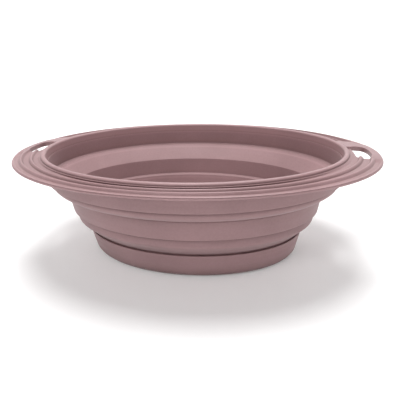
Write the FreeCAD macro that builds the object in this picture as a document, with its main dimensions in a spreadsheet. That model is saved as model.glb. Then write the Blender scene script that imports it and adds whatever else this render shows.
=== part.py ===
import FreeCAD, Part
import math
import os

# Folding oval pet bathtub, open and standing on its base. Millimetres, +Z up.
# Origin: centre of the underside of the base. X runs through the two handles, Y across the tub.
# Every outline is an oval (an ellipse); the wall is a column of ovals joined by straight slopes,
# two steep bands and two thin folding webs between a rigid rim and a rigid base pan.

doc = FreeCAD.newDocument("PetBathtub")

DIMENSIONS = [
    # rigid rim
    ("lip_half_length", 185.6),       # middle of the lip that stands above the flange
    ("lip_half_width", 139.4),
    ("lip_thickness", 6.0),
    ("lip_rise", 3.2),                # crown of the lip above the flange's root
    ("lip_skirt", 10.0),              # crown of the lip down to its lower end
    ("lip_round", 2.4),
    ("flange_half_length", 225.0),    # the handles are the wide ends of the flange
    ("flange_half_width", 162.5),
    ("flange_thickness", 2.2),
    ("flange_droop", 3.5),            # how much lower the flange's edge is than its root
    ("flange_round", 0.8),
    ("inner_ridge_share", 0.37),      # where each ridge stands between lip and flange edge
    ("outer_ridge_share", 0.69),
    ("ridge_base_share", 0.07),       # half of a ridge's foot, as a share of the flange
    ("ridge_height", 2.2),
    ("edge_bead_share", 0.95),
    ("edge_bead_base_share", 0.05),
    ("edge_bead_height", 0.9),
    ("hole_reach", 204.2),            # middle of a handle's finger hole
    ("hole_width", 18.0),
    ("hole_length", 43.0),
    ("hole_bend", 111.0),             # radius that the hole follows, near the flange's own
    ("hole_round", 7.0),
    ("pad_length", 27.0),             # flat pad behind each finger hole, closing the grooves
    ("pad_overlap", 4.0),             # how far a pad reaches into the hole before the hole is cut
    ("pad_inner_share", 0.09),
    ("plate_inner_share", 0.66),      # flat plate outside each finger hole
    ("plate_outer_share", 0.97),
    ("plate_front", 38.0),            # how far the plate runs in front of the tub's long axis
    ("pad_height", 1.0),              # pad and plate, above the flange's root
    ("pad_sink", 0.3),                # how far they are sunk below the flange's lowest top
    # soft wall
    ("length_less_width", 46.2),      # every oval of the wall is this much longer than wide, per side
    ("wall_thickness", 3.0),
    ("tongue_thickness", 1.6),        # tongue of the upper band, moulded up into the lip
    ("tongue_height", 5.0),
    ("rim_level", 127.0),             # heights above the ground
    ("upper_band_foot", 104.7),
    ("middle_band_head", 88.2),
    ("middle_band_foot", 62.6),
    ("hinge_groove_level", 61.0),
    ("knee_level", 50.2),
    ("base_level", 33.2),
    ("upper_band_top_reach", 186.5),  # half-lengths of the wall's outside at those heights
    ("upper_band_foot_reach", 185.1),
    ("middle_band_head_reach", 166.6),
    ("middle_band_foot_reach", 158.2),
    ("hinge_groove_reach", 156.0),
    ("knee_reach", 153.3),
    ("collar_reach", 138.3),
    ("collar_depth", 14.0),
    ("collar_thickness", 2.0),
    # rigid base pan
    ("base_top_reach", 140.9),
    ("base_foot_reach", 128.3),
    ("base_wall", 2.6),
    ("base_round", 5.0),
    ("floor_thickness", 3.0),
    ("foot_ring_width", 9.0),
    ("foot_ring_height", 1.5),
]

sheet = doc.addObject("Spreadsheet::Sheet", "Dims")
for row, (alias, value) in enumerate(DIMENSIONS, start=1):
    sheet.set(f"A{row}", alias)
    sheet.set(f"B{row}", str(value))
    sheet.setAlias(f"B{row}", alias)
doc.recompute()

SUB_PARTS = []
ROUND_STEPS = 3                       # straight runs in a quarter turn of the lip's crown
RIDGE_STEPS = 6                       # straight runs over a ridge
OVERSHOOT = "1"                       # how far cutting tools run past the faces they open
FLAT = 0.01                           # an edge that spans less than this does not rise, or is upright

CROWN = "Dims.rim_level + Dims.lip_skirt"
FLANGE_TOP = f"{CROWN} - Dims.lip_rise"
FLANGE_BOTTOM = f"{FLANGE_TOP} - Dims.flange_thickness"
BASE_SLOPE = "(Dims.base_top_reach - Dims.base_foot_reach) / Dims.base_level"
BASE_INSIDE_AT_COLLAR = f"Dims.collar_reach - {BASE_SLOPE} * Dims.collar_depth"


def keep(sub_part, label):
    """Mark an object as a finished sub-part; its label names its file."""
    sub_part.Label = label
    SUB_PARTS.append(sub_part)
    return sub_part


def oval(name, half_length, half_width, level):
    """Horizontal oval outline; all three arguments are sheet expressions."""
    outline = doc.addObject("Part::Ellipse", name)
    outline.setExpression("MajorRadius", half_length)
    outline.setExpression("MinorRadius", half_width)
    outline.setExpression("Placement.Base.z", level)
    return outline


def column(name, levels):
    """Solid with straight sides through a column of ovals, each (half_length, half_width, level)."""
    solid = doc.addObject("Part::Loft", name)
    solid.Sections = [oval(f"{name}_oval_{i}", *level) for i, level in enumerate(levels)]
    solid.Solid = True
    solid.Ruled = True
    return solid


def combine(kind, name, first, second):
    """Cut, Common or Fuse of two objects."""
    result = doc.addObject(f"Part::{kind}", name)
    result.Base = first
    result.Tool = second
    return result


def wall_oval(reach, level, inset="0"):
    """Level of a wall column: half-length `reach` less `inset`, width to match."""
    half_length = f"{reach} - ({inset})"
    return (half_length, f"{half_length} - Dims.length_less_width", level)


def wall_ring(name, levels, thickness):
    """Tubular piece of the wall; `levels` is a list of (reach, level), outside, top to bottom."""
    outside = column(f"{name}_outside", [wall_oval(reach, level) for reach, level in levels])
    inside = column(f"{name}_inside", [wall_oval(reach, level, thickness) for reach, level in levels])
    return combine("Cut", name, outside, inside)


def flange_oval(share, level, spread="0"):
    """Oval between the lip (share 0) and the flange's edge (share 1)."""
    half_length = (f"Dims.lip_half_length + ({share}) * "
                   f"(Dims.flange_half_length - Dims.lip_half_length) + ({spread})")
    half_width = (f"Dims.lip_half_width + ({share}) * "
                  f"(Dims.flange_half_width - Dims.lip_half_width) + ({spread})")
    return (half_length, half_width, level)


def flange_ring(name, inner, outer, bottom, top):
    """Upright ring between two flange ovals, each (share, spread)."""
    outside, inside = (
        column(f"{name}_{side}", [flange_oval(share, level, spread) for level in (bottom, top)])
        for side, (share, spread) in (("outside", outer), ("inside", inner))
    )
    return combine("Cut", name, outside, inside)


def block(name, left, right, front, back, bottom, top):
    """Box between six sheet expressions."""
    box = doc.addObject("Part::Box", name)
    box.setExpression("Length", f"{right} - ({left})")
    box.setExpression("Width", f"{back} - ({front})")
    box.setExpression("Height", f"{top} - ({bottom})")
    box.setExpression("Placement.Base.x", left)
    box.setExpression("Placement.Base.y", front)
    box.setExpression("Placement.Base.z", bottom)
    return box


def round_edges(name, base, radius_alias, wanted):
    """Fillet every edge for which wanted(edge) is true, with the radius of the sheet's alias."""
    doc.recompute()
    radius = sheet.get(radius_alias)
    result = doc.addObject("Part::Fillet", name)
    result.Base = base
    result.Edges = [
        (number, radius, radius)
        for number, edge in enumerate(base.Shape.Edges, start=1)
        if wanted(edge)
    ]
    doc.recompute()
    return result


def on_the_ground(edge):
    """True for an edge that lies flat at level zero."""
    return edge.BoundBox.ZLength < FLAT and abs(edge.BoundBox.ZMin) < FLAT


def upright(edge):
    """True for an edge that rises straight up."""
    return edge.BoundBox.XLength < FLAT and edge.BoundBox.YLength < FLAT


def drum(name, radius, centre, bottom, top):
    """Upright cylinder whose seam is turned away from the handles."""
    cylinder = doc.addObject("Part::Cylinder", name)
    cylinder.setExpression("Radius", radius)
    cylinder.setExpression("Height", f"{top} - ({bottom})")
    cylinder.Placement.Rotation = FreeCAD.Rotation(FreeCAD.Vector(0, 0, 1), 90)
    cylinder.setExpression("Placement.Base.x", centre)
    cylinder.setExpression("Placement.Base.z", bottom)
    return cylinder


def finger_hole(side, sign):
    """Cutting tool for one handle's hole: a slot bent round the tub's end, corners rounded."""
    bottom = f"{FLANGE_BOTTOM} - Dims.flange_droop - {OVERSHOOT}"
    top = f"{CROWN} + {OVERSHOOT}"
    centre = f"{sign} * (Dims.hole_reach - Dims.hole_bend)"
    band = combine(
        "Cut", f"hole_band_{side}",
        drum(f"hole_outer_{side}", "Dims.hole_bend + Dims.hole_width / 2", centre, bottom, top),
        drum(f"hole_inner_{side}", "Dims.hole_bend - Dims.hole_width / 2", centre, bottom, top),
    )
    middle = f"{sign} * Dims.hole_reach"
    span = block(f"hole_span_{side}", f"{middle} - Dims.hole_width", f"{middle} + Dims.hole_width",
                 "-Dims.hole_length / 2", "Dims.hole_length / 2", bottom, top)
    sharp = combine("Common", f"sharp_hole_{side}", band, span)
    return round_edges(f"finger_hole_{side}", sharp, "hole_round", upright)


def rim_section():
    """Section of the rim as (share, spread, level), once round from the lip's inner foot."""
    value = sheet.get
    half_lip = value("lip_thickness") / 2
    foot = value("rim_level")
    crown = foot + value("lip_skirt")
    flange_top = crown - value("lip_rise")
    flange_bottom = flange_top - value("flange_thickness")
    droop = value("flange_droop")
    turn = value("lip_round")
    section = []
    for centre, first_angle in ((turn - half_lip, 180), (half_lip - turn, 90)):
        for step in range(ROUND_STEPS + 1):
            angle = math.radians(first_angle - 90 * step / ROUND_STEPS)
            section.append((0, centre + turn * math.cos(angle), crown - turn + turn * math.sin(angle)))
    section.append((0, half_lip, flange_top))
    for middle, half_base, rise in (
        (value("inner_ridge_share"), value("ridge_base_share"), value("ridge_height")),
        (value("outer_ridge_share"), value("ridge_base_share"), value("ridge_height")),
        (value("edge_bead_share"), value("edge_bead_base_share"), value("edge_bead_height")),
    ):
        for step in range(RIDGE_STEPS + 1):
            across = 2 * step / RIDGE_STEPS - 1
            share = middle + across * half_base
            section.append((share, 0, flange_top - droop * share + rise * math.sqrt(1 - across ** 2)))
    edge_round = value("flange_round")
    section.append((1, 0, flange_top - droop - edge_round))
    section.append((1, 0, flange_bottom - droop + edge_round))
    section.append((1, -edge_round, flange_bottom - droop))
    section.append((0, half_lip, flange_bottom))
    section.append((0, half_lip, foot))
    groove_half = value("tongue_thickness") / 2
    groove_top = foot + value("tongue_height")
    section.append((0, groove_half, foot))
    section.append((0, groove_half, groove_top))
    section.append((0, -groove_half, groove_top))
    section.append((0, -groove_half, foot))
    section.append((0, -half_lip, foot))
    return section


def half_ovals(share, spread, level):
    """Two halves of a flange oval, parted where the tub is narrow, clear of the handles."""
    value = sheet.get
    half_length = value("lip_half_length") + spread
    half_length += share * (value("flange_half_length") - value("lip_half_length"))
    half_width = value("lip_half_width") + spread
    half_width += share * (value("flange_half_width") - value("lip_half_width"))
    curve = Part.Ellipse(FreeCAD.Vector(0, 0, level), half_length, half_width)
    quarter = math.pi / 2
    return [curve.toShape(quarter, 3 * quarter), curve.toShape(3 * quarter, 5 * quarter)]


def make_rim_ring():
    """The rim before its handles are opened: its section carried round the ovals."""
    outlines = [half_ovals(*point) for point in rim_section()]
    faces = []
    for here, there in zip(outlines, outlines[1:] + outlines[:1]):
        for edge, next_edge in zip(here, there):
            faces.append(Part.makeRuledSurface(edge, next_edge))
    shell = Part.Shell(faces)
    shell.sewShape()
    solid = Part.Solid(shell)
    if solid.Volume < 0:
        solid.reverse()
    ring = doc.addObject("Part::Feature", "rim_ring")
    ring.Shape = solid
    ring.Placement = FreeCAD.Placement()
    return ring


def raised_band(name, inner_share, outer_share):
    """Flat-topped ring on the flange, from which the handles' pads and plates are taken."""
    return flange_ring(name, (inner_share, "0"), (outer_share, "0"),
                       f"{FLANGE_TOP} - Dims.flange_droop - Dims.pad_sink",
                       f"{FLANGE_TOP} + Dims.pad_height")


def make_rim_frame():
    """Rigid rim: proud lip, flange with two ridges and an edge bead, two handles."""
    rim = make_rim_ring()
    back = "Dims.hole_length / 2 + Dims.pad_length"
    for kind, band, front in (
        ("pad", raised_band("pad_band", "Dims.pad_inner_share", "Dims.outer_ridge_share"),
         "Dims.hole_length / 2 - Dims.pad_overlap"),
        ("plate", raised_band("plate_band", "Dims.plate_inner_share", "Dims.plate_outer_share"),
         "-Dims.plate_front"),
    ):
        for side, near, far in (
            ("right", "Dims.lip_half_length / 2", "Dims.flange_half_length"),
            ("left", "-Dims.flange_half_length", "-Dims.lip_half_length / 2"),
        ):
            span = block(f"{kind}_span_{side}", near, far, front, back,
                         f"{FLANGE_BOTTOM} - Dims.flange_droop", CROWN)
            raised = combine("Common", f"handle_{kind}_{side}", band, span)
            rim = combine("Fuse", f"rim_with_{kind}_{side}", rim, raised)
    for side, sign in (("right", "1"), ("left", "-1")):
        rim = combine("Cut", f"rim_opened_{side}", rim, finger_hole(side, sign))
    return keep(rim, "rim_frame")


def make_upper_band():
    """Steep soft band under the rim, with the tongue that is moulded into the lip."""
    band = wall_ring("upper_band_wall", [
        ("Dims.upper_band_top_reach", "Dims.rim_level"),
        ("Dims.upper_band_foot_reach", "Dims.upper_band_foot"),
    ], "Dims.wall_thickness")
    half_tongue = "Dims.tongue_thickness / 2"
    tongue = flange_ring("band_tongue", ("0", f"-{half_tongue}"), ("0", half_tongue),
                         f"Dims.rim_level - {OVERSHOOT}", "Dims.rim_level + Dims.tongue_height")
    return keep(combine("Fuse", "upper_band_solid", band, tongue), "upper_band")


def make_upper_fold_web():
    """Thin folding web between the upper and the middle band."""
    return keep(wall_ring("upper_web_solid", [
        ("Dims.upper_band_foot_reach", "Dims.upper_band_foot"),
        ("Dims.middle_band_head_reach", "Dims.middle_band_head"),
    ], "Dims.wall_thickness"), "upper_fold_web")


def make_middle_band():
    """Steep soft band between the two folding webs."""
    return keep(wall_ring("middle_band_solid", [
        ("Dims.middle_band_head_reach", "Dims.middle_band_head"),
        ("Dims.middle_band_foot_reach", "Dims.middle_band_foot"),
    ], "Dims.wall_thickness"), "middle_band")


def make_lower_fold_web():
    """Thin folding web under the middle band: hinge groove, rounded knee, slope to the base."""
    return keep(wall_ring("lower_web_solid", [
        ("Dims.middle_band_foot_reach", "Dims.middle_band_foot"),
        ("Dims.hinge_groove_reach", "Dims.hinge_groove_level"),
        ("Dims.knee_reach", "Dims.knee_level"),
        ("Dims.collar_reach", "Dims.base_level"),
    ], "Dims.wall_thickness"), "lower_fold_web")


def make_base_collar():
    """Soft collar that ends the wall, bonded inside the base pan."""
    return keep(wall_ring("base_collar_solid", [
        ("Dims.collar_reach", "Dims.base_level"),
        (BASE_INSIDE_AT_COLLAR, "Dims.base_level - Dims.collar_depth"),
    ], "Dims.collar_thickness"), "base_collar")


def make_base_pan():
    """Rigid base pan: low wall, floor and the foot ring that the tub stands on."""
    pan_block = column("pan_block", [
        wall_oval("Dims.base_foot_reach", "0"),
        wall_oval("Dims.base_top_reach", "Dims.base_level"),
    ])
    rounded = round_edges("rounded_pan", pan_block, "base_round", on_the_ground)
    floor_top = "Dims.foot_ring_height + Dims.floor_thickness"
    inside = column("pan_inside", [
        wall_oval(f"Dims.base_foot_reach + {BASE_SLOPE} * ({floor_top})", floor_top, "Dims.base_wall"),
        wall_oval("Dims.base_top_reach", "Dims.base_level", "Dims.base_wall"),
    ])
    recess_inset = "Dims.base_round + Dims.foot_ring_width"
    recess = column("foot_recess", [
        wall_oval("Dims.base_foot_reach", f"-{OVERSHOOT}", recess_inset),
        wall_oval("Dims.base_foot_reach", "Dims.foot_ring_height", recess_inset),
    ])
    pan = combine("Cut", "open_pan", rounded, inside)
    return keep(combine("Cut", "base_pan_solid", pan, recess), "base_pan")


def check(sub_part):
    """Stop if a sub-part is missing, broken or not a solid."""
    shape = sub_part.Shape
    if shape.isNull() or not shape.isValid() or not shape.Solids:
        raise RuntimeError(f"{sub_part.Label}: no valid solid")
    box = shape.BoundBox
    print(f"{sub_part.Label}: {len(shape.Solids)} solid, {shape.Volume / 1000:.1f} cm3, "
          f"{box.XLength:.1f} x {box.YLength:.1f} x {box.ZLength:.1f}, z from {box.ZMin:.1f}")


def main():
    make_rim_frame()
    make_upper_band()
    make_upper_fold_web()
    make_middle_band()
    make_lower_fold_web()
    make_base_collar()
    make_base_pan()
    doc.recompute()

    for item in doc.Objects:
        if "Invalid" in item.State or "Error" in item.State:
            raise RuntimeError(f"{item.Name} failed: {item.State}")
    for sub_part in SUB_PARTS:
        check(sub_part)

    os.makedirs("parts", exist_ok=True)
    for sub_part in SUB_PARTS:
        sub_part.Shape.exportStep(f"parts/{sub_part.Label}.step")


main()
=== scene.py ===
import math

import bmesh
import bpy
from mathutils import Matrix, Vector


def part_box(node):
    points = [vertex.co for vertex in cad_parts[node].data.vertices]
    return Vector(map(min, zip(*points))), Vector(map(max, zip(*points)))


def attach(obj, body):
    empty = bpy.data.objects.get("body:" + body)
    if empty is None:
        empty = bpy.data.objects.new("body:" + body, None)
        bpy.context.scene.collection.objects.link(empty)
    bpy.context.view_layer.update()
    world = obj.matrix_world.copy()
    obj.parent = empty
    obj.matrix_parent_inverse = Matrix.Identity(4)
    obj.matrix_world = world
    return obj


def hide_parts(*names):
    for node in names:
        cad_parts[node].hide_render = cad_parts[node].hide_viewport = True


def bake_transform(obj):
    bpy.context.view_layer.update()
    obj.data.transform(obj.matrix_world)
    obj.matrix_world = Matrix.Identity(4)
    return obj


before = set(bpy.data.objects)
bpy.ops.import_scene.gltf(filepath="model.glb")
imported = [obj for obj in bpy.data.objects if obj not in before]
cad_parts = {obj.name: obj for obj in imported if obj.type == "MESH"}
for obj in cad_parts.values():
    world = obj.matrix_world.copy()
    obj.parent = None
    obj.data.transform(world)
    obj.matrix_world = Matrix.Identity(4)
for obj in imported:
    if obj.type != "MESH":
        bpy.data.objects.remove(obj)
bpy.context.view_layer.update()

MM = 0.001

# ---------------------------------------------------------------- places, from the frame
RIM_LOW, RIM_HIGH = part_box("rim_frame")
BAND_LOW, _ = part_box("upper_band")
_, WEB_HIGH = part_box("upper_fold_web")
MIDDLE_LOW, MIDDLE_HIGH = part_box("middle_band")
_, LOWER_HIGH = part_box("lower_fold_web")
COLLAR_LOW, COLLAR_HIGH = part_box("base_collar")
_, PAN_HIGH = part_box("base_pan")

CROWN = RIM_HIGH.z                       # levels
RIM_LEVEL = RIM_LOW.z
UPPER_FOLD = BAND_LOW.z
MIDDLE_HEAD = MIDDLE_HIGH.z
MIDDLE_FOOT = MIDDLE_LOW.z
BASE_LEVEL = PAN_HIGH.z
LENGTH_LESS_WIDTH = WEB_HIGH.x - WEB_HIGH.y   # every oval of the wall is this much longer than wide

# ---------------------------------------------------------------- rim
# A share is a place across the flange, from the lip's middle line (0) to the flange's edge (1).
LIP_REACH = 185.6 * MM                   # half-length of the lip's middle line
HALF_LIP = 3 * MM
LIP_RISE = 3.2 * MM                      # crown above the flange's root
LIP_ROUND = 2.4 * MM
ROOT_FILLET = 0.6 * MM                   # hollow corner between lip and flange
FLANGE_THICKNESS = 2.2 * MM
FLANGE_DROOP = 3.5 * MM                  # how much lower the flange's edge is than its root
FLANGE_ROOT = CROWN - LIP_RISE
RIDGE_SHARES = (0.37, 0.69)
RIDGE_INNER_FOOT = 0.05
RIDGE_OUTER_FOOT = 0.085
RIDGE_HEIGHT = 2.6 * MM
RIDGE_FULLNESS = 0.8                     # below 1 makes a ridge's crest broader
VALLEY_DEPTH = 0.9 * MM                  # how far the flange is hollowed between lip and outer ridge
VALLEY_START = 0.08
VALLEY_SOFTNESS = 0.1
BEAD_SHARE = 0.95
BEAD_FOOT = 0.05
BEAD_HEIGHT = 0.9 * MM

# ---------------------------------------------------------------- handles
HOLE_SHARE = 0.472                       # middle of a finger hole
HOLE_HALF_SHARE = 0.228
HOLE_HALF_ANGLE = 0.1435                 # radians of the rim's ovals
HOLE_POWER = 4                           # higher makes the hole's corners squarer
HOLE_EDGE = 0.6 * MM
HOLE_SKIRT = 1.6 * MM                    # turned-down edge under a finger hole
HOLE_SKIRT_REACH = 0.3                   # how far out of its patch the skirt runs
# Behind each hole a flat pad reaches out to the outer ridge. Beside the hole a flat plate covers that
# ridge and the flange outside it. Fronts and backs are places along y.
PAD_HEIGHT = 1.0 * MM
PAD_DROOP = 0.9                          # how much of the flange's droop the pads and plates follow
PAD_SOFTNESS = 0.9 * MM
PAD_FRONT = 17.5 * MM
PAD_BACK = 48.5 * MM
PLATE_FRONT = -38 * MM
PLATE_SOFTNESS = 12 * MM

# ---------------------------------------------------------------- wall
WALL = 3 * MM
BAND_TOP_REACH = 186.5 * MM
UPPER_LEDGE = 6.0 * MM                   # each web hangs from a ledge under the band above it,
UPPER_BULGE_REACH = 180.8 * MM           # bulges outwards, and turns in to the band below
UPPER_BULGE_LEVEL = 97.5 * MM
UPPER_LOW_REACH = 172.0 * MM
UPPER_LOW_LEVEL = 90.6 * MM
LOWER_LEDGE = 4.6 * MM
LOWER_BULGE_REACH = 154.8 * MM
LOWER_BULGE_LEVEL = 50.5 * MM
LOWER_LOW_REACH = 143.6 * MM
LOWER_LOW_LEVEL = 39.5 * MM
BAND_EDGE_ROUND = 0.9 * MM               # lower outer edge of a band
LEDGE_ROUND = 0.6 * MM                   # hollow corner at a ledge's inner end
UPPER_LEDGE_DROP = 0.5 * MM
LOWER_LEDGE_DROP = 0.6 * MM
BULGE_ROUND = 6 * MM
UPPER_LOW_ROUND = 1.0 * MM
LOWER_LOW_ROUND = 1.4 * MM
GROOVE_INSET = 5.0 * MM                  # where the upper web meets the middle band; insets are from
GROOVE_RISE = 0.6 * MM                   # the CAD band's widest reach, rises and drops from its head
GROOVE_ROUND = 0.8 * MM
SHOULDER_INSET = 3.6 * MM                # the middle band's rounded shoulder
SHOULDER_DROP = 3.0 * MM
SHOULDER_ROUND = 2.5 * MM
MIDDLE_OVERHANG = 1.0 * MM               # the middle band's lower edge stands out past the lower web
COLLAR_INSET = 0.3 * MM                  # insets are from the CAD collar's widest reach
COLLAR_HEAD_INSET = 0.2 * MM
COLLAR_HEAD_RISE = 1.2 * MM
COLLAR_HEAD_ROUND = 0.8 * MM
COLLAR_FOOT_INSET = 6.0 * MM
INNER_TOP_GAP = 0.9 * MM                 # the wall's inside at the top, inwards from the lip's inside
UPPER_STEP_RISES = (2.6 * MM, 1.6 * MM)  # inside, the wall steps in over each ledge at two corners:
LOWER_STEP_RISES = (3.5 * MM, 2.4 * MM)  # these are their heights above the band's lower edge
STEP_ROUNDS = (1.0 * MM, 1.2 * MM)
INNER_HEAD_INSET = 2.6 * WALL
INNER_HEAD_ROUND = 2.2 * MM
INNER_BULGE_INSET = 2.8 * WALL
INNER_COLLAR_INSET = 4.0 * MM            # from the same reach
INNER_COLLAR_RISE = 1.5 * MM
INNER_COLLAR_ROUND = 2 * MM
INNER_FOOT_INSET = 8.0 * MM
UPPER_BORDER = UPPER_FOLD - 0.45 * MM    # levels where one piece of the soft wall meets the next
MIDDLE_BORDER = MIDDLE_HEAD + 0.3 * MM
LOWER_BORDER = MIDDLE_FOOT - 0.5 * MM
COLLAR_BORDER = BASE_LEVEL + 0.8 * MM

# ---------------------------------------------------------------- base pan
FOOT_REACH = 128.3 * MM
FOOT_FULLNESS = 5.5 * MM                 # the pan bulges this far past its foot before it turns in
FOOT_ROUND = 12 * MM
PAN_WALL = 2.6 * MM
FOOT_RING_WIDTH = 14 * MM
FOOT_RING_HEIGHT = 1.5 * MM
FLOOR_LEVEL = 4.5 * MM
FLOOR_SPREAD = (0.85, 0.65, 0.45, 0.25, 0.1)   # rings of the flat faces, as shares of their rim

# ---------------------------------------------------------------- fineness of the meshes
ARC_STEPS = 6
RUN = 2.5 * MM                           # longest straight run of a section before it is divided
FLANGE_ROWS = 48
FIRST_SHARE = 0.16                       # the flange's rows start clear of the lip's fillet
LAST_SHARE = 0.975
PATCH_ANGLE = 14                         # degrees of the rim, either side, that are built round a hole
PATCH_LAST_SHARE = 0.9
PATCH_LOOPS = 16
PATCH_CROWDING = 1.4                     # above 1 sets a patch's loops closer to the hole
FINE_ANGLE = 21                          # degrees either side of a handle with closely set columns
FINE_STEP = 0.25
COARSE_STEP = 1.0
NEARLY_STRAIGHT = 89                     # degrees; a corner whose half-angle is larger stays a point
SHARP_ANGLE = 38                         # degrees between two faces that keep a sharp edge
TINY = 1e-6

# ---------------------------------------------------------------- colours, light and camera
ROSE = (0.312, 0.188, 0.194)
FLOOR_WHITE = (0.86, 0.86, 0.86, 1)
FLOOR_GLOW = 0.16
WORLD_LIGHT = 0.05
LAMPS = [
    # name, place, aim, size, watts
    ("key", (-0.35, -1.35, 1.4), (0.0, 0.0, 0.1), 0.4, 6.0),
    ("overhead", (0.0, 0.15, 1.8), (0.0, 0.0, 0.1), 1.0, 31.0),
    ("backdrop", (0.0, 2.0, 2.6), (0.0, 3.4, 0.6), 1.6, 45.0),
]
CAMERA_DISTANCE = 0.5203
CAMERA_ELEVATION = math.radians(21.96)
TUB_TURN = math.radians(-9.05)           # how the tub is turned and tipped as the camera sees it
TUB_TIP = math.radians(1.28)
AIM = Vector((10.83 * MM, 0, -73.43 * MM))   # from the middle of the lip's crown, in the turned frame
LENS = 35.37


# ---------------------------------------------------------------- sections
def arc_corner(before, corner, after, radius):
    """Points of a rounded corner between two straight runs."""
    here = Vector(corner)
    to_before = (Vector(before) - here).normalized()
    to_after = (Vector(after) - here).normalized()
    half_angle = to_before.angle(to_after) / 2
    if half_angle > math.radians(NEARLY_STRAIGHT) or radius == 0:
        return [tuple(corner)]
    reach = radius / math.tan(half_angle)
    centre = here + (to_before + to_after).normalized() * (radius / math.sin(half_angle))
    start = here + to_before * reach - centre
    end = here + to_after * reach - centre
    sweep = start.angle(end)
    weight = math.sin(sweep)
    points = []
    for step in range(ARC_STEPS + 1):
        share = step / ARC_STEPS
        points.append(centre + start * (math.sin((1 - share) * sweep) / weight)
                      + end * (math.sin(share * sweep) / weight))
    return [tuple(point) for point in points]


def rounded_line(corners):
    """Open line through (reach, level, radius) corners, each rounded by its radius."""
    flat = [corner[:2] for corner in corners]
    points = [flat[0]]
    for number in range(1, len(corners) - 1):
        points += arc_corner(flat[number - 1], flat[number], flat[number + 1], corners[number][2])
    return points + [flat[-1]]


def divided(points):
    """The same line with its long runs divided."""
    result = [points[0]]
    for start, end in zip(points, points[1:]):
        count = max(1, math.ceil((Vector(end) - Vector(start)).length / RUN))
        for step in range(1, count + 1):
            result.append(tuple(Vector(start).lerp(Vector(end), step / count)))
    return result


def stretch(line, high, low):
    """The part of a descending line between two levels, cut exactly at both."""
    def at(level):
        for (reach_a, level_a), (reach_b, level_b) in zip(line, line[1:]):
            if level_b <= level <= level_a:
                share = (level_a - level) / max(level_a - level_b, 1e-9)
                return (reach_a + (reach_b - reach_a) * share, level)
        raise ValueError("level outside the line")
    inside = [point for point in line if low + TINY < point[1] < high - TINY]
    return [at(high)] + inside + [at(low)]


# ---------------------------------------------------------------- meshes
def make_object(name, vertices, faces):
    """Smooth-shaded object with outward faces and its real edges kept sharp."""
    mesh = bpy.data.meshes.new(name)
    mesh.from_pydata(vertices, [], faces)
    tidy = bmesh.new()
    tidy.from_mesh(mesh)
    bmesh.ops.recalc_face_normals(tidy, faces=tidy.faces)
    tidy.to_mesh(mesh)
    tidy.free()
    mesh.shade_smooth()
    mesh.set_sharp_from_angle(angle=math.radians(SHARP_ANGLE))
    piece = bpy.data.objects.new(name, mesh)
    bpy.context.scene.collection.objects.link(piece)
    return piece


def column_angles():
    """Angles of the mesh's columns once round, closely set at the two handles."""
    angles = []
    for centre in (0, 180):
        angle = centre - FINE_ANGLE
        while angle < centre + FINE_ANGLE - TINY:
            angles.append(math.radians(angle))
            angle += FINE_STEP
        while angle < centre + 180 - FINE_ANGLE - TINY:
            angles.append(math.radians(angle))
            angle += COARSE_STEP
    return angles


def ring_piece(name, section, angles):
    """Closed section of (half_length, half_width, level) carried once round the ovals."""
    vertices = [
        (half_length * math.cos(angle), half_width * math.sin(angle), level)
        for angle in angles
        for half_length, half_width, level in section
    ]
    count = len(section)
    faces = []
    for column in range(len(angles)):
        here, there = column * count, (column + 1) % len(angles) * count
        for point in range(count):
            following = (point + 1) % count
            faces.append((here + point, there + point, there + following, here + following))
    return make_object(name, vertices, faces)


def wall_section(outside, inside):
    """Closed section of a piece of wall from its two (reach, level) lines, both top to bottom."""
    return [(reach, reach - LENGTH_LESS_WIDTH, level) for reach, level in outside + inside[::-1]]


def dish_piece(name, section, angles):
    """Solid of revolution over ovals; the section runs from the middle below to the middle above."""
    first, *rings, last = section
    vertices = [(0, 0, first[2]), (0, 0, last[2])]
    for half_length, half_width, level in rings:
        vertices += [(half_length * math.cos(angle), half_width * math.sin(angle), level)
                     for angle in angles]
    count = len(angles)
    faces = []
    for column in range(count):
        following = (column + 1) % count
        for ring in range(len(rings) - 1):
            start, end = 2 + ring * count, 2 + (ring + 1) * count
            faces.append((start + column, start + following, end + following, end + column))
        top = 2 + (len(rings) - 1) * count
        faces.append((0, 2 + following, 2 + column))
        faces.append((1, top + column, top + following))
    return make_object(name, vertices, faces)


# ---------------------------------------------------------------- rim
def smooth(value):
    """0 below 0, 1 above 1, and an even curve between."""
    value = min(1.0, max(0.0, value))
    return value * value * (3 - 2 * value)


def within(value, low, high, softness):
    """1 between two limits, 0 outside, with soft edges."""
    return smooth((value - low) / softness) * smooth((high - value) / softness)


def bump(offset, inner_foot, outer_foot):
    """Rounded ridge of height 1, steeper towards the lip."""
    across = offset / (inner_foot if offset < 0 else outer_foot)
    return math.cos(across * math.pi / 2) ** RIDGE_FULLNESS if abs(across) < 1 else 0.0


def flange_bottom(share):
    """Level of the flange's lower face."""
    return FLANGE_ROOT - FLANGE_THICKNESS - FLANGE_DROOP * share


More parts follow.
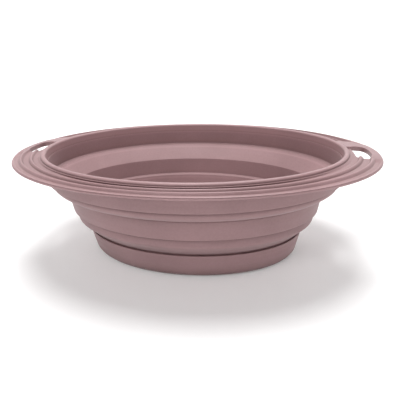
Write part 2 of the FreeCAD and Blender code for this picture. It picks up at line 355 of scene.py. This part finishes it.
def flange_top(share, y):
    """Level of the flange's upper face: ridges, edge bead, and the handles' pads and plates."""
    level = FLANGE_ROOT - FLANGE_DROOP * share
    level -= VALLEY_DEPTH * within(share, VALLEY_START, RIDGE_SHARES[1], VALLEY_SOFTNESS)
    for ridge in RIDGE_SHARES:
        level += RIDGE_HEIGHT * bump(share - ridge, RIDGE_INNER_FOOT, RIDGE_OUTER_FOOT)
    level += BEAD_HEIGHT * bump(share - BEAD_SHARE, BEAD_FOOT, BEAD_FOOT)
    share_softness = PAD_SOFTNESS / (RIM_HIGH.x - LIP_REACH)
    pad = (within(y, PAD_FRONT, PAD_BACK, PAD_SOFTNESS)
           * within(share, 0.0, RIDGE_SHARES[1], share_softness))
    plate = (within(y, PLATE_FRONT, PAD_BACK, PLATE_SOFTNESS)
             * within(share, RIDGE_SHARES[1] - RIDGE_INNER_FOOT, LAST_SHARE, share_softness))
    flat = max(pad, plate)
    raised = FLANGE_ROOT + PAD_HEIGHT - FLANGE_DROOP * PAD_DROOP * share * share
    return level + (raised - level) * flat


def rim_oval(share, spread=0.0):
    """Half-length and half-width of an oval between the lip (0) and the flange's edge (1)."""
    lip_width = LIP_REACH - LENGTH_LESS_WIDTH
    return (LIP_REACH + share * (RIM_HIGH.x - LIP_REACH) + spread,
            lip_width + share * (RIM_HIGH.y - lip_width) + spread)


def rim_point(share, angle, drop=0.0, top=True):
    """Point on the flange's upper or lower face, moved into it by `drop`."""
    half_length, half_width = rim_oval(share)
    x, y = half_length * math.cos(angle), half_width * math.sin(angle)
    level = flange_top(share, y) - drop if top else flange_bottom(share) + drop
    return (x, y, level)


def lip_section():
    """Points (spread, level) over the lip, from its inner foot to the flange's root."""
    corners = [
        (-HALF_LIP, RIM_LEVEL, 0),
        (-HALF_LIP, CROWN, LIP_ROUND),
        (HALF_LIP, CROWN, LIP_ROUND),
        (HALF_LIP, FLANGE_ROOT, ROOT_FILLET),
        (HALF_LIP + 2 * ROOT_FILLET, FLANGE_ROOT, 0),
    ]
    return rounded_line(corners)


def flange_shares():
    """Shares of the rows across the flange."""
    width = LAST_SHARE - FIRST_SHARE
    return [FIRST_SHARE + width * row / (FLANGE_ROWS - 1) for row in range(FLANGE_ROWS)]


def make_rim():
    """The rim's mesh: section rows by columns, with the rows parted round the finger holes."""
    angles = column_angles()
    shares = flange_shares()
    rows = [("at", (0, spread, level)) for spread, level in lip_section()]
    top_start = len(rows)
    rows += [("top", share) for share in shares]
    edge_top = FLANGE_ROOT - FLANGE_DROOP
    edge_bottom = edge_top - FLANGE_THICKNESS
    half = FLANGE_THICKNESS / 2
    for step in range(1, 2 * ARC_STEPS):
        turn = math.pi / 2 - math.pi * step / (2 * ARC_STEPS)
        level = (edge_top + edge_bottom) / 2 + half * math.sin(turn)
        rows.append(("at", (1, half * (math.cos(turn) - 1), level)))
    bottom_start = len(rows)
    rows += [("bottom", share) for share in shares[::-1]]
    rows.append(("at", (0, HALF_LIP + ROOT_FILLET, flange_bottom(0))))
    rows.append(("at", (0, HALF_LIP, flange_bottom(0) - ROOT_FILLET)))
    rows.append(("at", (0, HALF_LIP, RIM_LEVEL)))

    vertices, faces, index = [], [], {}

    def vertex(key, point):
        if key not in index:
            index[key] = len(vertices)
            vertices.append(point)
        return index[key]

    def grid(row, column):
        column %= len(angles)
        kind, place = rows[row]
        angle = angles[column]
        if kind == "at":
            share, spread, level = place
            half_length, half_width = rim_oval(share, spread)
            point = (half_length * math.cos(angle), half_width * math.sin(angle), level)
        else:
            point = rim_point(place, angle, top=kind == "top")
        return vertex((row, column), point)

    patch_rows = sum(share <= PATCH_LAST_SHARE for share in shares) - 1
    tops = (top_start, top_start + patch_rows)
    bottoms = (bottom_start + len(shares) - 1 - patch_rows, bottom_start + len(shares) - 1)
    half_columns = round(PATCH_ANGLE / FINE_STEP)
    fine_columns = round(FINE_ANGLE / FINE_STEP)
    centres = (fine_columns, len(angles) // 2 + fine_columns)

    def parted(row, column):
        """True for a quad that belongs to a hole's patch."""
        in_rows = any(low <= row < high for low, high in (tops, bottoms))
        in_columns = any(-half_columns <= column - centre < half_columns for centre in centres)
        return in_rows and in_columns

    for row in range(len(rows)):
        for column in range(len(angles)):
            if not parted(row, column):
                following = (row + 1) % len(rows)
                faces.append((grid(row, column), grid(row, column + 1),
                              grid(following, column + 1), grid(following, column)))

    for centre in centres:
        middle = angles[centre]
        mouths = []
        for top, (low, high) in ((True, tops), (False, bottoms)):
            border = [(low, column) for column in range(-half_columns, half_columns)]
            border += [(row, half_columns) for row in range(low, high)]
            border += [(high, column) for column in range(half_columns, -half_columns, -1)]
            border += [(row, -half_columns) for row in range(high, low, -1)]
            loops = hole_loops(vertices, border, rows, middle, top)
            loops.append([grid(row, centre + column) for row, column in border])
            for inner, outer in zip(loops, loops[1:]):
                faces.extend(loop_faces(inner, outer))
            mouths.append(loops[0])
        # the lower border runs the other way through the shares, so its loop is matched by place
        upper = mouths[0]
        lower = match_loop(vertices, upper, mouths[1])
        faces.extend(loop_faces(upper, lower))
    return make_object("rim", vertices, faces)


def loop_faces(inner, outer):
    """Faces between two closed loops of as many vertices."""
    count = len(inner)
    faces = []
    for place in range(count):
        following = (place + 1) % count
        faces.append((inner[place], inner[following], outer[following], outer[place]))
    return faces


def match_loop(vertices, loop, other):
    """`other` turned round and started so that it runs beside `loop`."""
    def apart(one, another):
        return (Vector(vertices[one]).xy - Vector(vertices[another]).xy).length

    count = len(other)
    quarter = len(loop) // 4
    start = min(range(count), key=lambda place: apart(other[place], loop[0]))
    both_ways = [[other[(start + way * place) % count] for place in range(count)] for way in (1, -1)]
    return min(both_ways, key=lambda line: apart(line[quarter], loop[quarter]))


def hole_loops(vertices, border, rows, middle, top):
    """Loops of vertices from a finger hole's edge out to the border of its patch."""
    spokes = []
    for row, column in border:
        share = rows[row][1]
        offset = math.radians(column * FINE_STEP)
        across, along = (share - HOLE_SHARE) / HOLE_HALF_SHARE, offset / HOLE_HALF_ANGLE
        scale = (abs(across) ** HOLE_POWER + abs(along) ** HOLE_POWER) ** (-1 / HOLE_POWER)
        edge = (HOLE_SHARE + scale * across * HOLE_HALF_SHARE, scale * offset)
        start = Vector(rim_point(edge[0], middle + edge[1], top=top)).xy
        end = Vector(rim_point(share, middle + offset, top=top)).xy
        spokes.append((edge, (share, offset), (end - start).length))
    loops = []
    for step in range(ARC_STEPS + 1):
        turn = math.pi / 2 * step / ARC_STEPS
        loops.append([(HOLE_EDGE * (1 - math.cos(turn)) / length, HOLE_EDGE * (1 - math.sin(turn)))
                      for _, _, length in spokes])
    for step in range(1, PATCH_LOOPS):
        out = (step / PATCH_LOOPS) ** PATCH_CROWDING
        loops.append([(HOLE_EDGE / length + (1 - HOLE_EDGE / length) * out, 0.0)
                      for _, _, length in spokes])
    made = []
    for loop in loops:
        line = []
        for (share_out, drop), (edge, far, _) in zip(loop, spokes):
            share = edge[0] + (far[0] - edge[0]) * share_out
            offset = edge[1] + (far[1] - edge[1]) * share_out
            line.append(len(vertices))
            if not top:
                drop -= HOLE_SKIRT * (1 - smooth(share_out / HOLE_SKIRT_REACH))
            vertices.append(rim_point(share, middle + offset, drop, top))
        made.append(line)
    return made


# ---------------------------------------------------------------- wall and base
def wall_lines():
    """Outside and inside lines of the soft wall, top to bottom, as (reach, level)."""
    base_top = COLLAR_HIGH.x
    outside = [
        # reach, level, radius
        (BAND_TOP_REACH, RIM_LEVEL, 0),
        (WEB_HIGH.x, UPPER_FOLD, BAND_EDGE_ROUND),
        (WEB_HIGH.x - UPPER_LEDGE, UPPER_FOLD - UPPER_LEDGE_DROP, LEDGE_ROUND),
        (UPPER_BULGE_REACH, UPPER_BULGE_LEVEL, BULGE_ROUND),
        (UPPER_LOW_REACH, UPPER_LOW_LEVEL, UPPER_LOW_ROUND),
        (MIDDLE_HIGH.x - GROOVE_INSET, MIDDLE_HEAD + GROOVE_RISE, GROOVE_ROUND),
        (MIDDLE_HIGH.x - SHOULDER_INSET, MIDDLE_HEAD - SHOULDER_DROP, SHOULDER_ROUND),
        (LOWER_HIGH.x + MIDDLE_OVERHANG, MIDDLE_FOOT, BAND_EDGE_ROUND),
        (LOWER_HIGH.x - LOWER_LEDGE, MIDDLE_FOOT - LOWER_LEDGE_DROP, LEDGE_ROUND),
        (LOWER_BULGE_REACH, LOWER_BULGE_LEVEL, BULGE_ROUND),
        (LOWER_LOW_REACH, LOWER_LOW_LEVEL, LOWER_LOW_ROUND),
        (base_top - COLLAR_HEAD_INSET, BASE_LEVEL + COLLAR_HEAD_RISE, COLLAR_HEAD_ROUND),
        (base_top - COLLAR_INSET, BASE_LEVEL, 0),
        (base_top - COLLAR_FOOT_INSET, COLLAR_LOW.z, 0),
    ]
    step_out, step_in = STEP_ROUNDS
    inside = [
        (LIP_REACH - HALF_LIP - INNER_TOP_GAP, RIM_LEVEL, 0),
        (WEB_HIGH.x - WALL, UPPER_FOLD + UPPER_STEP_RISES[0], step_out),
        (WEB_HIGH.x - WALL - UPPER_LEDGE, UPPER_FOLD + UPPER_STEP_RISES[1], step_in),
        (MIDDLE_HIGH.x - INNER_HEAD_INSET, MIDDLE_HEAD, INNER_HEAD_ROUND),
        (LOWER_HIGH.x - WALL, MIDDLE_FOOT + LOWER_STEP_RISES[0], step_out),
        (LOWER_HIGH.x - WALL - LOWER_LEDGE, MIDDLE_FOOT + LOWER_STEP_RISES[1], step_in),
        (LOWER_BULGE_REACH - INNER_BULGE_INSET, LOWER_BULGE_LEVEL, BULGE_ROUND),
        (base_top - INNER_COLLAR_INSET, BASE_LEVEL + INNER_COLLAR_RISE, INNER_COLLAR_ROUND),
        (base_top - INNER_FOOT_INSET, COLLAR_LOW.z, 0),
    ]
    return divided(rounded_line(outside)), divided(rounded_line(inside))


def make_wall(angles):
    """The five pieces of the soft wall, by name."""
    outside, inside = wall_lines()
    levels = [
        ("upper_wall", RIM_LEVEL, UPPER_BORDER),
        ("upper_web", UPPER_BORDER, MIDDLE_BORDER),
        ("middle_wall", MIDDLE_BORDER, LOWER_BORDER),
        ("lower_web", LOWER_BORDER, COLLAR_BORDER),
        ("collar", COLLAR_BORDER, COLLAR_LOW.z),
    ]
    pieces = {}
    for name, high, low in levels:
        section = wall_section(stretch(outside, high, low), stretch(inside, high, low))
        pieces[name] = ring_piece(name, section, angles)
    return pieces


def make_pan(angles):
    """Base pan: low wall with a proud ledge, rounded foot, foot ring and floor."""
    slope = (PAN_HIGH.x - FOOT_REACH) / BASE_LEVEL
    inside_foot = FOOT_REACH + slope * FLOOR_LEVEL - PAN_WALL
    recess = FOOT_REACH - FOOT_RING_WIDTH
    line = rounded_line([
        (recess - 2 * MM, FOOT_RING_HEIGHT, 0),
        (recess, FOOT_RING_HEIGHT, 0.4 * MM),
        (recess + 0.6 * MM, 0.0, 0.5 * MM),
        (FOOT_REACH + FOOT_FULLNESS, 0.0, FOOT_ROUND),
        (PAN_HIGH.x, BASE_LEVEL, 1.0 * MM),
        (PAN_HIGH.x - PAN_WALL, BASE_LEVEL, 0.5 * MM),
        (inside_foot, FLOOR_LEVEL, 2.5 * MM),
        (inside_foot - 6 * MM, FLOOR_LEVEL, 0),
    ])
    section = [(reach, reach - LENGTH_LESS_WIDTH, level) for reach, level in divided(line)]

    def flat_rings(edge, level):
        return [(edge[0] * share, edge[1] * share, level) for share in FLOOR_SPREAD]

    below = [(0, 0, FOOT_RING_HEIGHT)] + flat_rings(section[0], FOOT_RING_HEIGHT)[::-1]
    above = flat_rings(section[-1], FLOOR_LEVEL) + [(0, 0, FLOOR_LEVEL)]
    return dish_piece("pan", below + section + above, angles)


# ---------------------------------------------------------------- materials
def node(tree, kind, **values):
    """New node; a value named in_Some_Name goes to that input, any other to the node itself."""
    made = tree.nodes.new(kind)
    for name, value in values.items():
        if name.startswith("in_"):
            made.inputs[name[3:].replace("_", " ")].default_value = value
        else:
            setattr(made, name, value)
    return made


def moulded(name, colour, roughness, grain, sheen):
    """Moulded plastic or rubber: clouding, grain, uneven gloss, a painted highlight on crests and
    edges, and painted shade in the folds.
    """
    material = bpy.data.materials.new(name)
    material.use_nodes = True
    tree = material.node_tree
    shader = tree.nodes["Principled BSDF"]
    link = tree.links.new
    place = node(tree, "ShaderNodeTexCoord")
    cloud = node(tree, "ShaderNodeTexNoise", in_Scale=11.0, in_Detail=4.0, in_Roughness=0.55)
    speck = node(tree, "ShaderNodeTexNoise", in_Scale=420.0, in_Detail=2.0)
    streak_map = node(tree, "ShaderNodeMapping", in_Scale=(4.0, 4.0, 90.0))
    streak = node(tree, "ShaderNodeTexNoise", in_Scale=3.0, in_Detail=5.0, in_Roughness=0.7)
    fine = node(tree, "ShaderNodeTexNoise", in_Scale=1500.0, in_Detail=2.0)
    for texture in (cloud, speck, fine):
        link(place.outputs["Object"], texture.inputs["Vector"])
    link(place.outputs["Object"], streak_map.inputs["Vector"])
    link(streak_map.outputs["Vector"], streak.inputs["Vector"])

    # clouds and specks of colour
    dark = [channel * 0.90 for channel in colour] + [1]
    light = [min(1.0, channel * 1.08) for channel in colour] + [1]
    tone = node(tree, "ShaderNodeMix", data_type="RGBA")
    tone.inputs["A"].default_value = dark
    tone.inputs["B"].default_value = light
    tone_range = node(tree, "ShaderNodeMapRange", in_From_Min=0.3, in_From_Max=0.7)
    link(cloud.outputs["Fac"], tone_range.inputs["Value"])
    link(tone_range.outputs["Result"], tone.inputs["Factor"])
    specked = node(tree, "ShaderNodeMix", data_type="RGBA", blend_type="MULTIPLY")
    specked.inputs["Factor"].default_value = 0.35
    speck_range = node(tree, "ShaderNodeMapRange", in_From_Min=0.35, in_From_Max=0.6,
                       in_To_Min=0.86, in_To_Max=1.0)
    link(speck.outputs["Fac"], speck_range.inputs["Value"])
    link(tone.outputs["Result"], specked.inputs["A"])
    link(speck_range.outputs["Result"], specked.inputs["B"])

    # painted highlight: crests and convex edges made lighter by their pointiness
    form = node(tree, "ShaderNodeNewGeometry")
    crest = node(tree, "ShaderNodeMapRange", in_From_Min=0.505, in_From_Max=0.56, in_To_Max=0.45)
    link(form.outputs["Pointiness"], crest.inputs["Value"])
    painted_crest_highlight = node(tree, "ShaderNodeMix", data_type="RGBA")
    # colour of the painted highlight, lighter than the plastic
    painted_crest_highlight.inputs["B"].default_value = [min(1.0, channel * 1.35) for channel in colour] + [1]
    link(crest.outputs["Result"], painted_crest_highlight.inputs["Factor"])
    link(specked.outputs["Result"], painted_crest_highlight.inputs["A"])

    # painted shade: folds, recesses and the wall under the flange darkened by ambient occlusion in the
    # base colour
    recess = node(tree, "ShaderNodeAmbientOcclusion", samples=8, in_Distance=0.018)
    painted_shade_amount = node(tree, "ShaderNodeMapRange", in_From_Min=0.35, in_From_Max=0.95,
                in_To_Min=0.7, in_To_Max=0.0)
    link(recess.outputs["AO"], painted_shade_amount.inputs["Value"])
    painted_fold_shade = node(tree, "ShaderNodeMix", data_type="RGBA")
    # dark warm colour that the painted shade reaches in the deepest folds
    painted_fold_shade.inputs["B"].default_value = (colour[0] * 0.34, colour[1] * 0.26, colour[2] * 0.24, 1)
    link(painted_shade_amount.outputs["Result"], painted_fold_shade.inputs["Factor"])
    link(painted_crest_highlight.outputs["Result"], painted_fold_shade.inputs["A"])
    link(painted_fold_shade.outputs["Result"], shader.inputs["Base Color"])

    # gloss in level streaks, and the moulded grain
    gloss = node(tree, "ShaderNodeMapRange", in_From_Min=0.3, in_From_Max=0.75,
                 in_To_Min=roughness - 0.07, in_To_Max=roughness + 0.12)
    link(streak.outputs["Fac"], gloss.inputs["Value"])
    link(gloss.outputs["Result"], shader.inputs["Roughness"])

    surface = node(tree, "ShaderNodeBump", in_Strength=grain, in_Distance=0.00012)
    link(fine.outputs["Fac"], surface.inputs["Height"])
    waves = node(tree, "ShaderNodeBump", in_Strength=0.06, in_Distance=0.0006)
    link(cloud.outputs["Fac"], waves.inputs["Height"])
    link(surface.outputs["Normal"], waves.inputs["Normal"])
    link(waves.outputs["Normal"], shader.inputs["Normal"])
    shader.inputs["Sheen Weight"].default_value = sheen
    shader.inputs["Sheen Roughness"].default_value = 0.5
    shader.inputs["Specular IOR Level"].default_value = 0.45
    return material


def paint(piece, material):
    """Give a piece its one material."""
    piece.data.materials.clear()
    piece.data.materials.append(material)


# ---------------------------------------------------------------- stage, light and camera
def make_stage():
    """Pale round floor that curves up into a wall all round, so every view has a plain background."""
    flat, bend, height = 2.6, 1.2, 6.0
    sides, bend_steps = 96, 12
    profile = [(flat, 0.0)]
    for step in range(1, bend_steps + 1):
        turn = math.pi / 2 * step / bend_steps
        profile.append((flat + bend * math.sin(turn), bend * (1 - math.cos(turn))))
    profile.append((flat + bend, height))
    vertices = [(0, 0, 0)]
    for radius, level in profile:
        for side in range(sides):
            turn = 2 * math.pi * side / sides
            vertices.append((radius * math.cos(turn), radius * math.sin(turn), level))
    faces = []
    for side in range(sides):
        following = (side + 1) % sides
        faces.append((0, 1 + side, 1 + following))
        for ring in range(len(profile) - 1):
            start, end = 1 + ring * sides, 1 + (ring + 1) * sides
            faces.append((start + side, start + following, end + following, end + side))
    floor = make_object("studio_floor", vertices, faces)
    material = bpy.data.materials.new("studio_white")
    material.use_nodes = True
    shader = material.node_tree.nodes["Principled BSDF"]
    shader.inputs["Base Color"].default_value = FLOOR_WHITE
    shader.inputs["Roughness"].default_value = 0.9
    shader.inputs["Specular IOR Level"].default_value = 0.1
    shader.inputs["Emission Color"].default_value = (1, 1, 1, 1)
    shader.inputs["Emission Strength"].default_value = FLOOR_GLOW
    paint(floor, material)


def make_lights():
    """Soft lamps and a faint even light."""
    world = bpy.data.worlds.new("studio")
    world.use_nodes = True
    world.node_tree.nodes["Background"].inputs["Color"].default_value = (1, 1, 1, 1)
    world.node_tree.nodes["Background"].inputs["Strength"].default_value = WORLD_LIGHT
    bpy.context.scene.world = world
    for name, place, aim, size, watts in LAMPS:
        lamp = bpy.data.lights.new(name, "AREA")
        lamp.shape = "DISK"
        lamp.size = size
        lamp.energy = watts
        holder = bpy.data.objects.new(name, lamp)
        holder.location = place
        holder.rotation_euler = (Vector(aim) - Vector(place)).to_track_quat("-Z", "Y").to_euler()
        bpy.context.scene.collection.objects.link(holder)
    bpy.context.scene.view_settings.view_transform = "Standard"


def make_camera():
    """The photograph's view: the camera's place round an upright, square tub, turned with the tub."""
    data = bpy.data.cameras.new("camera")
    data.lens = LENS
    data.sensor_width = 36
    data.clip_start, data.clip_end = 0.01, 50
    camera = bpy.data.objects.new("camera", data)
    bpy.context.scene.collection.objects.link(camera)
    back = Vector((0, -math.cos(CAMERA_ELEVATION), math.sin(CAMERA_ELEVATION)))
    to_tub = (Matrix.Rotation(-TUB_TIP, 3, "Y") @ Matrix.Rotation(TUB_TURN, 3, "Z")).transposed()
    place = to_tub @ (AIM + back * CAMERA_DISTANCE) + Vector((0, 0, CROWN))
    look = to_tub.to_4x4() @ Matrix.Rotation(math.pi / 2 - CAMERA_ELEVATION, 4, "X")
    camera.matrix_world = Matrix.Translation(place) @ look
    bpy.context.scene.camera = camera


# ---------------------------------------------------------------- assembly
def assemble():
    """Every piece, with its body, the CAD node that it replaces, and its material."""
    rim_plastic = moulded("rim_plastic", ROSE, roughness=0.46, grain=0.35, sheen=0.05)
    soft_wall = moulded("soft_wall", ROSE, roughness=0.58, grain=0.5, sheen=0.12)
    base_plastic = moulded("base_plastic", ROSE, roughness=0.48, grain=0.35, sheen=0.05)
    angles = column_angles()

    rim = make_rim()
    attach(rim, "rim")
    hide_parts("rim_frame")
    paint(rim, rim_plastic)

    wall = make_wall(angles)
    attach(wall["upper_wall"], "rim")
    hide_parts("upper_band")
    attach(wall["middle_wall"], "middle")
    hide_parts("middle_band")
    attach(wall["collar"], "base")
    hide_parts("base_collar")
    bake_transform(wall["upper_web"])
    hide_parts("upper_fold_web")
    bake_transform(wall["lower_web"])
    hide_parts("lower_fold_web")
    for piece in wall.values():
        paint(piece, soft_wall)

    pan = make_pan(angles)
    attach(pan, "base")
    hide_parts("base_pan")
    paint(pan, base_plastic)


make_camera()
assemble()
make_stage()
make_lights()
